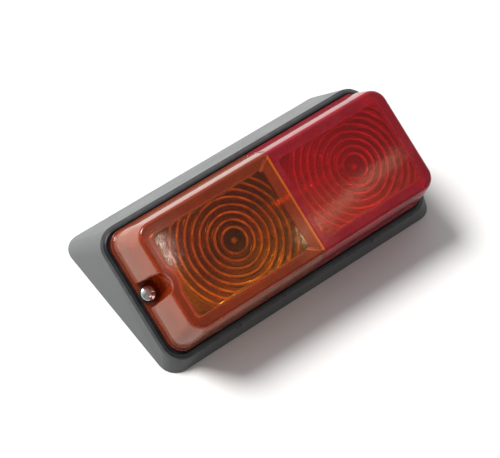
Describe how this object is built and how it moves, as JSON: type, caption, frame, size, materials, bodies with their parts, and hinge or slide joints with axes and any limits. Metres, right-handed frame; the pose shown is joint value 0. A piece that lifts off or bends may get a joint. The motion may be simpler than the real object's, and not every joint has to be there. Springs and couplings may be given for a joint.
{
  "type": "trailer tail light",
  "caption": "Wedge-backed rectangular rear lamp with amber and red ringed lens halves, a hooked and screwed lens, bayonet bulbs and a rubber gasket.",
  "frame": {"origin": "centre of the flat back face that lies against the vehicle", "axes": "+X along the lamp towards the red end, +Y towards the deep side of the wedge, +Z away from the vehicle"},
  "size_m": [0.163, 0.0897, 0.0537],
  "materials": {
    "housing_plastic": "satin moulded grey plastic",
    "gasket_rubber": "soft black rubber",
    "amber_lens": "transparent amber plastic with moulded rings",
    "red_lens": "transparent red plastic with moulded rings",
    "steel_screw": "bright zinc plated steel",
    "tray_steel": "yellow-tinged zinc plate",
    "reflector_silver": "bright reflector",
    "brass": "plain brass",
    "phenolic": "brown phenolic board",
    "block_black": "black nylon",
    "clear_glass": "clear bulb glass",
    "filament_metal": "tungsten and steel wire",
    "solder": "dull solder",
    "spring_steel": "spring wire",
    "lead_green": "green cable insulation",
    "lead_brown": "brown cable insulation",
    "lead_red": "red cable insulation",
    "lead_white": "white cable insulation"
  },
  "bodies": {
    "lamp_base": {"housing": "housing_plastic", "mount_inserts": "brass", "cable_grommet": "gasket_rubber", "screw_insert": "brass", "gasket": "gasket_rubber", "tray": "tray_steel", "tray_screws": "steel_screw", "divider": "tray_steel", "divider_rivets": "steel_screw", "reflector_amber": "reflector_silver", "reflector_red": "reflector_silver", "terminal_block": "block_black", "terminal_screws": "brass", "lead_indicator": "lead_green", "lead_tail": "lead_brown", "lead_stop": "lead_red", "lead_earth": "lead_white", "socket_shell_amber": "brass", "socket_base_amber": "phenolic", "solder_tag_amber": "brass", "plunger_spring_amber": "spring_steel", "socket_shell_red": "brass", "socket_base_red": "phenolic", "solder_tags_red": "brass", "plunger_springs_red": "spring_steel"},
    "lens": {"lens_amber": "amber_lens", "lens_red": "red_lens", "screw_washer": "gasket_rubber"},
    "lens_fixing": {"lens_screw": "steel_screw"},
    "plunger_amber": {"plunger_disc_amber": "phenolic", "plunger_contact_amber": "brass"},
    "bulb_amber": {"bulb_cap_amber": "brass", "bulb_contact_amber": "solder", "bulb_stem_amber": "clear_glass", "bulb_filament_amber": "filament_metal", "bulb_glass_amber": "clear_glass"},
    "plunger_red": {"plunger_disc_red": "phenolic", "plunger_contacts_red": "brass"},
    "bulb_red": {"bulb_cap_red": "brass", "bulb_contacts_red": "solder", "bulb_stem_red": "clear_glass", "bulb_filaments_red": "filament_metal", "bulb_glass_red": "clear_glass"}
  },
  "joints": [
    {"name": "lens_tilt", "type": "hinge", "parent": "lamp_base", "child": "lens", "pos_m": [0.0765, -0.01071, 0.02111], "axis": [0, 0.9135, 0.4067], "range_deg": [0, 30]},
    {"name": "lens_screw_turn", "type": "hinge", "parent": "lens", "child": "lens_fixing", "pos_m": [-0.0722, -0.01217, 0.0244], "axis": [0, -0.4067, 0.9135], "continuous": true},
    {"name": "bulb_amber_push", "type": "slide", "parent": "lamp_base", "child": "plunger_amber", "axis": [1, 0, 0], "range_m": [0, 0.002], "stiffness_N_per_m": 1500, "springref_m": -0.003, "deforming": ["plunger_spring_amber"]},
    {"name": "bulb_amber_twist", "type": "hinge", "parent": "plunger_amber", "child": "bulb_amber", "pos_m": [-0.0292, -0.01355, 0.02751], "axis": [-1, 0, 0], "range_deg": [0, 16]},
    {"name": "bulb_red_push", "type": "slide", "parent": "lamp_base", "child": "plunger_red", "axis": [-1, 0, 0], "range_m": [0, 0.002], "stiffness_N_per_m": 1500, "springref_m": -0.003, "deforming": ["plunger_springs_red"]},
    {"name": "bulb_red_twist", "type": "hinge", "parent": "plunger_red", "child": "bulb_red", "pos_m": [0.043, -0.01355, 0.02751], "axis": [1, 0, 0], "range_deg": [0, 16]}
  ]
}
